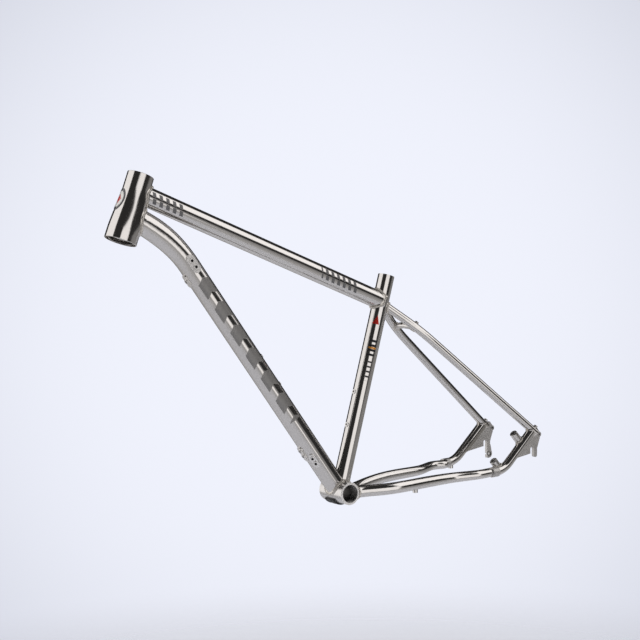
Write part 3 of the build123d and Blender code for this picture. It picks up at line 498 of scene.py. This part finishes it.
# The shell's faced ends are rougher, as machined, and their colour is lightened to near white as a
# painted highlight.
end_face_highlight = node_in(tree, "ShaderNodeMix", data_type="RGBA")
tree.links.new(end_face, end_face_highlight.inputs[0])
tree.links.new(shader.inputs["Base Color"].links[0].from_socket, end_face_highlight.inputs[6])
end_face_highlight.inputs[7].default_value = (0.95, 0.94, 0.93, 1.0)
tree.links.new(end_face_highlight.outputs[2], shader.inputs["Base Color"])
dress("bottom_bracket_shell", shell_metal)
dress("seat_tube_sleeve", machined("sleeve_metal", seat_axis))
boss_metal = machined("boss_metal", hose_axis)
post_metal = machined("post_metal", brake_axis)
port_metal = metal("port_metal", (0.0, 1.0, 0.0), (0.86, 0.85, 0.84, 1.0),
                   (0.78, 0.77, 0.76, 1.0), 0.42)
for node in nodes:
    if "boss" in node:
        dress(node, boss_metal)
    if node.startswith("brake_post"):
        dress(node, post_metal)
    if node.startswith("cable_port"):
        dress(node, port_metal)
guide_metal = machined("guide_metal", (0.0, 0.0, 1.0))
dress("hose_guide_left", guide_metal)
dress("cable_guide_right", guide_metal)

blasted = bpy.data.materials.new("blasted_metal")
blasted.use_nodes = True
tree = blasted.node_tree
shader = tree.nodes["Principled BSDF"]
shader.inputs["Metallic"].default_value = 1.0
grain = node_in(tree, "ShaderNodeTexNoise", in_Scale=2600.0, in_Detail=2.0)
patch = node_in(tree, "ShaderNodeTexNoise", in_Scale=60.0, in_Detail=2.0)
for texture in (grain, patch):
    tree.links.new(tree.nodes.new("ShaderNodeTexCoord").outputs["Object"],
                   texture.inputs["Vector"])
tone = node_in(tree, "ShaderNodeMix", data_type="RGBA")
tree.links.new(patch.outputs["Fac"], tone.inputs[0])
tone.inputs[6].default_value = (0.52, 0.51, 0.50, 1.0)
tone.inputs[7].default_value = (0.62, 0.61, 0.60, 1.0)
tree.links.new(tone.outputs[2], shader.inputs["Base Color"])
tree.links.new(maths(tree, "ADD", maths(tree, "MULTIPLY", patch.outputs["Fac"], 0.12), 0.44),
               shader.inputs["Roughness"])
bump = node_in(tree, "ShaderNodeBump", in_Strength=0.3, in_Distance=0.00008)
tree.links.new(grain.outputs["Fac"], bump.inputs["Height"])
tree.links.new(bump.outputs[0], shader.inputs["Normal"])
for node in nodes:
    if node.startswith(("dropout", "chainstay_collar")):
        dress(node, blasted)

# ------------------------------------------------------------------ cable guide and screw
# A moulded black plastic guide under the bottom bracket, held by one small steel screw.
plastic = bpy.data.materials.new("black_plastic")
plastic.use_nodes = True
tree = plastic.node_tree
shader = tree.nodes["Principled BSDF"]
skin = node_in(tree, "ShaderNodeTexNoise", in_Scale=900.0, in_Detail=3.0)
tree.links.new(tree.nodes.new("ShaderNodeTexCoord").outputs["Object"], skin.inputs["Vector"])
tone = node_in(tree, "ShaderNodeMix", data_type="RGBA")
tree.links.new(skin.outputs["Fac"], tone.inputs[0])
tone.inputs[6].default_value = (0.014, 0.014, 0.015, 1.0)
tone.inputs[7].default_value = (0.030, 0.030, 0.032, 1.0)
tree.links.new(tone.outputs[2], shader.inputs["Base Color"])
tree.links.new(maths(tree, "ADD", maths(tree, "MULTIPLY", skin.outputs["Fac"], 0.2), 0.38),
               shader.inputs["Roughness"])
bump = node_in(tree, "ShaderNodeBump", in_Strength=0.25, in_Distance=0.0001)
tree.links.new(skin.outputs["Fac"], bump.inputs["Height"])
tree.links.new(bump.outputs[0], shader.inputs["Normal"])
dress("bottom_bracket_cable_guide", plastic)
dress("cable_guide_screw", metal("screw_steel", (0.0, 0.0, 1.0), (0.50, 0.50, 0.51, 1.0),
                                 (0.38, 0.38, 0.39, 1.0), 0.30))

# ------------------------------------------------------------------ head badge
# A small domed metal badge, filled with enamel: a dark rim, a white field and a plain red
# diamond, glued to the front of the head tube.
enamel = bpy.data.materials.new("badge_enamel")
enamel.use_nodes = True
tree = enamel.node_tree
shader = tree.nodes["Principled BSDF"]
shader.inputs["Coat Weight"].default_value = 0.6
shader.inputs["Coat Roughness"].default_value = 0.08
run, over, side = tube_place(tree, head_axis)
badge_low, badge_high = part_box("head_badge")
badge_middle = (badge_low + badge_high) / 2
badge_middle.rotate(Vector((0.0, 0.0, 1.0)).rotation_difference(head_axis).inverted())
half_tall = (badge_high.z - badge_low.z) / 2
half_wide = (badge_high.y - badge_low.y) / 2
up_badge = maths(tree, "DIVIDE", maths(tree, "SUBTRACT", run, badge_middle.z), half_tall)
across_badge = maths(tree, "DIVIDE", side, half_wide)
out_of_middle = maths(tree, "SQRT", maths(tree, "ADD", maths(
    tree, "MULTIPLY", up_badge, up_badge), maths(tree, "MULTIPLY", across_badge, across_badge)))
field = window(tree, out_of_middle, -1.0, 0.80, 0.02)
diamond = window(tree, maths(tree, "ADD", maths(tree, "ABSOLUTE", up_badge), maths(
    tree, "ABSOLUTE", across_badge)), -1.0, 0.48, 0.02)
speckle = node_in(tree, "ShaderNodeTexNoise", in_Scale=700.0)
tree.links.new(tree.nodes.new("ShaderNodeTexCoord").outputs["Object"],
               speckle.inputs["Vector"])
rim = node_in(tree, "ShaderNodeMix", data_type="RGBA")
tree.links.new(speckle.outputs["Fac"], rim.inputs[0])
rim.inputs[6].default_value = (0.02, 0.02, 0.025, 1.0)
rim.inputs[7].default_value = (0.05, 0.05, 0.06, 1.0)
colour = mark(tree, mark(tree, rim.outputs[2], field, (0.80, 0.80, 0.78, 1.0)), diamond,
              (0.55, 0.03, 0.03, 1.0))
tree.links.new(colour, shader.inputs["Base Color"])
tree.links.new(maths(tree, "ADD", maths(tree, "MULTIPLY", speckle.outputs["Fac"], 0.08), 0.16),
               shader.inputs["Roughness"])
dress("head_badge", enamel)

# ------------------------------------------------------------------ weld beads
# Filler run in short overlapping puddles round every joint, left as welded, a little duller
# than the tubes and faintly straw coloured.
weld_look = metal("weld_metal", (0.0, 0.0, 1.0), (0.70, 0.67, 0.625, 1.0),
                  (0.55, 0.53, 0.50, 1.0), 0.24, 0.5, 0.0002)


def geometry_group(name, inputs):
    """An empty geometry node group with named inputs; gives it, its start and its end."""
    group = bpy.data.node_groups.new(name, "GeometryNodeTree")
    group.interface.new_socket("Geometry", in_out="INPUT", socket_type="NodeSocketGeometry")
    for label, kind in inputs:
        group.interface.new_socket(label, in_out="INPUT", socket_type=kind)
    group.interface.new_socket("Geometry", in_out="OUTPUT", socket_type="NodeSocketGeometry")
    return group, group.nodes.new("NodeGroupInput"), group.nodes.new("NodeGroupOutput")


def grown(name, base, group, values):
    """The mesh a geometry node group makes from a base mesh, as a plain object on the frame."""
    holder = bpy.data.objects.new(name, base)
    bpy.context.scene.collection.objects.link(holder)
    modifier = holder.modifiers.new("grow", "NODES")
    modifier.node_group = group
    for item in group.interface.items_tree:
        if item.item_type == "SOCKET" and item.in_out == "INPUT" and item.name in values:
            modifier[item.identifier] = values[item.name]
    seen_by = bpy.context.evaluated_depsgraph_get()
    seen_by.update()
    made = bpy.data.meshes.new_from_object(holder.evaluated_get(seen_by))
    holder.modifiers.remove(modifier)
    bpy.data.objects.remove(holder)
    made.name = name
    piece = bpy.data.objects.new(name, made)
    bpy.context.scene.collection.objects.link(piece)
    return piece


puddles, start, end = geometry_group("weld_puddles", [
    ("Pitch", "NodeSocketFloat"), ("Size", "NodeSocketFloat"), ("Seed", "NodeSocketInt"),
    ("Metal", "NodeSocketMaterial")])
line = puddles.nodes.new("GeometryNodeMeshToCurve")
puddles.links.new(start.outputs["Geometry"], line.inputs["Mesh"])
even = puddles.nodes.new("GeometryNodeResampleCurve")
even.mode = "LENGTH"
puddles.links.new(line.outputs["Curve"], even.inputs["Curve"])
puddles.links.new(start.outputs["Pitch"], even.inputs["Length"])
spots = puddles.nodes.new("GeometryNodeCurveToPoints")
spots.mode = "EVALUATED"
puddles.links.new(even.outputs["Curve"], spots.inputs["Curve"])
coin = puddles.nodes.new("GeometryNodeMeshUVSphere")
coin.inputs["Segments"].default_value = 14
coin.inputs["Rings"].default_value = 7
puddles.links.new(start.outputs["Size"], coin.inputs["Radius"])
flat = puddles.nodes.new("GeometryNodeTransform")
flat.inputs["Scale"].default_value = (1.0, 1.0, 0.62)
puddles.links.new(coin.outputs["Mesh"], flat.inputs["Geometry"])
vary = puddles.nodes.new("FunctionNodeRandomValue")
vary.data_type = "FLOAT"
vary.inputs[2].default_value = 0.93
vary.inputs[3].default_value = 1.06
puddles.links.new(start.outputs["Seed"], vary.inputs["Seed"])
placed = puddles.nodes.new("GeometryNodeInstanceOnPoints")
puddles.links.new(spots.outputs["Points"], placed.inputs["Points"])
puddles.links.new(flat.outputs["Geometry"], placed.inputs["Instance"])
puddles.links.new(spots.outputs["Rotation"], placed.inputs["Rotation"])
puddles.links.new(vary.outputs[1], placed.inputs["Scale"])
real = puddles.nodes.new("GeometryNodeRealizeInstances")
puddles.links.new(placed.outputs["Instances"], real.inputs["Geometry"])
smooth = puddles.nodes.new("GeometryNodeSetShadeSmooth")
puddles.links.new(real.outputs["Geometry"], smooth.inputs["Geometry"])
coat = puddles.nodes.new("GeometryNodeSetMaterial")
puddles.links.new(smooth.outputs["Geometry"], coat.inputs["Geometry"])
puddles.links.new(start.outputs["Metal"], coat.inputs["Material"])
puddles.links.new(coat.outputs["Geometry"], end.inputs["Geometry"])


def loose_parts(shape):
    """The faces of a mesh as lists that touch each other, always in the same order."""
    shape.faces.index_update()
    seen = set()
    for first in shape.faces:
        if first.index in seen:
            continue
        seen.add(first.index)
        part, edge_of = [first], [first]
        while edge_of:
            face = edge_of.pop()
            for vertex in face.verts:
                for other in vertex.link_faces:
                    if other.index not in seen:
                        seen.add(other.index)
                        part.append(other)
                        edge_of.append(other)
        yield sorted(part, key=lambda face: face.index)


def middle_of_bead(faces, chance, bins=72):
    """Points along the middle of a ring-shaped bead and whether the ring closes."""
    corners = np.array([[tuple(vertex.co) for vertex in face.verts] for face in faces])
    span = np.cross(corners[:, 1] - corners[:, 0], corners[:, 2] - corners[:, 0])
    area = np.linalg.norm(span, axis=1)
    pick = chance.choice(len(faces), 6000, p=area / area.sum())
    u, v = chance.random((2, 6000))
    fold = u + v > 1
    u[fold], v[fold] = 1 - u[fold], 1 - v[fold]
    picked = corners[pick]
    points = (picked[:, 0] + (picked[:, 1] - picked[:, 0]) * u[:, None]
              + (picked[:, 2] - picked[:, 0]) * v[:, None])
    middle = points.mean(axis=0)
    axes = np.linalg.svd(points - middle, full_matrices=False)[2]
    flat_points = (points - middle) @ axes[:2].T
    fit = np.column_stack([2 * flat_points, np.ones(len(points))])
    centre = np.linalg.lstsq(fit, (flat_points ** 2).sum(axis=1), rcond=None)[0][:2]
    angle = np.arctan2(*(flat_points - centre).T[::-1])
    which = ((angle + pi) / (2 * pi) * bins).astype(int) % bins
    filled = [index for index in range(bins) if (which == index).sum() > 8]
    means = {index: points[which == index].mean(axis=0) for index in filled}
    gaps = [(filled[(place + 1) % len(filled)] - index) % bins or bins
            for place, index in enumerate(filled)]
    widest = int(np.argmax(gaps))
    order = filled[widest + 1:] + filled[:widest + 1]
    return [means[index] for index in order], gaps[widest] <= 2


def bead_line(node, chance):
    """A mesh of lines down the middle of every bead in a weld."""
    shape = bmesh.new()
    shape.from_mesh(nodes[node].data)
    bmesh.ops.remove_doubles(shape, verts=shape.verts, dist=0.00001)
    bmesh.ops.triangulate(shape, faces=shape.faces)
    verts, edges = [], []
    for part in loose_parts(shape):
        points, closes = middle_of_bead(part, chance)
        first = len(verts)
        verts += [tuple(point) for point in points]
        edges += [(first + step, first + step + 1) for step in range(len(points) - 1)]
        if closes:
            edges.append((len(verts) - 1, first))
    shape.free()
    base = bpy.data.meshes.new(node + "_line")
    base.from_pydata(verts, edges, [])
    return base


chance = np.random.default_rng(7)
round_welds = [
    "weld_head_to_top_tube", "weld_head_to_down_tube", "weld_seat_to_top_tube",
    "weld_shell_to_down_tube", "weld_shell_to_seat_tube", "weld_shell_to_chainstays",
    "weld_seatstay_bridge", "weld_chainstay_bridge", "weld_brake_posts",
    "weld_seat_to_seatstays",
]
for seed, node in enumerate(sorted(node for node in nodes if node.startswith("weld_"))):
    dress(node, weld_look)
    if node in round_welds:
        small = "bridge" in node or "brake" in node
        ripples = grown(node + "_ripples", bead_line(node, chance), puddles, {
            "Pitch": 0.0013 if small else 0.0017, "Size": 0.0015 if small else 0.0023,
            "Seed": seed, "Metal": weld_look})
        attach(ripples, "root")

# ------------------------------------------------------------------ threads
# Cut threads stand in every tapped hole: fine ones at both ends of the bottom bracket, one
# of them left-handed, and small ones in the bosses, posts, hanger and eyelets.
thread_cut, start, end = geometry_group("thread", [
    ("Turns", "NodeSocketFloat"), ("Radius", "NodeSocketFloat"), ("Length", "NodeSocketFloat"),
    ("Steps", "NodeSocketInt"), ("Tooth", "NodeSocketFloat"), ("Left Hand", "NodeSocketBool"),
    ("Turn", "NodeSocketRotation"), ("Place", "NodeSocketVector"),
    ("Metal", "NodeSocketMaterial")])
helix = thread_cut.nodes.new("GeometryNodeCurveSpiral")
thread_cut.links.new(start.outputs["Steps"], helix.inputs["Resolution"])
thread_cut.links.new(start.outputs["Turns"], helix.inputs["Rotations"])
thread_cut.links.new(start.outputs["Radius"], helix.inputs["Start Radius"])
thread_cut.links.new(start.outputs["Radius"], helix.inputs["End Radius"])
thread_cut.links.new(start.outputs["Length"], helix.inputs["Height"])
thread_cut.links.new(start.outputs["Left Hand"], helix.inputs["Reverse"])
tooth = thread_cut.nodes.new("GeometryNodeCurvePrimitiveCircle")
tooth.inputs["Resolution"].default_value = 4
thread_cut.links.new(start.outputs["Tooth"], tooth.inputs["Radius"])
swept = thread_cut.nodes.new("GeometryNodeCurveToMesh")
thread_cut.links.new(helix.outputs["Curve"], swept.inputs["Curve"])
thread_cut.links.new(tooth.outputs["Curve"], swept.inputs["Profile Curve"])
swept.inputs["Fill Caps"].default_value = True
stand = thread_cut.nodes.new("GeometryNodeTransform")
thread_cut.links.new(swept.outputs["Mesh"], stand.inputs["Geometry"])
thread_cut.links.new(start.outputs["Turn"], stand.inputs["Rotation"])
thread_cut.links.new(start.outputs["Place"], stand.inputs["Translation"])
real = thread_cut.nodes.new("GeometryNodeRealizeInstances")
thread_cut.links.new(stand.outputs["Geometry"], real.inputs["Geometry"])
coat = thread_cut.nodes.new("GeometryNodeSetMaterial")
thread_cut.links.new(real.outputs["Geometry"], coat.inputs["Geometry"])
thread_cut.links.new(start.outputs["Metal"], coat.inputs["Material"])
thread_cut.links.new(coat.outputs["Geometry"], end.inputs["Geometry"])

# The threads are coloured much darker than the metal they are cut in: painted shade in the holes.
thread_metal = metal("thread_metal", (0.0, 1.0, 0.0), (0.34, 0.335, 0.33, 1.0),
                     (0.22, 0.215, 0.21, 1.0), 0.34)


def thread(name, foot, along, radius, length, pitch, left_hand=False):
    """One thread standing a little proud of its hole's wall, from foot to foot + length."""
    turns = length / pitch
    tooth = pitch * 0.42
    values = {
        "Turns": turns, "Radius": radius, "Length": length, "Steps": int(turns * 28),
        "Tooth": tooth, "Left Hand": left_hand,
        "Turn": Vector((0.0, 0.0, 1.0)).rotation_difference(Vector(along)).to_euler(),
        "Place": Vector(foot), "Metal": thread_metal}
    cut = grown(name, bpy.data.meshes.new(name), thread_cut, values)
    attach(cut, "root")


for name, mount in mounts.items():
    if mount["kind"] != "threaded_hole" or name == "bottom_bracket":
        continue
    radius = mount["dims"]["r_mm"] / 1000
    length = mount["dims"]["length_mm"] / 1000
    pitch = 0.0008 if radius < 0.0024 else 0.001
    along = Vector(mount["axis"])
    thread("thread_" + name, Vector(mount["pos_m"]) - along * (length - pitch), along, radius,
           length - 2 * pitch, pitch)
shell_thread = mounts["bottom_bracket"]["dims"]
shell_reach = shell_thread["length_mm"] / 2000
for side, way in (("left", 1.0), ("right", -1.0)):
    thread("thread_bottom_bracket_" + side, (0.0, way * (shell_reach - 0.0225), 0.0),
           (0.0, way, 0.0), shell_thread["r_mm"] / 1000, 0.0215, 0.00106, side == "right")
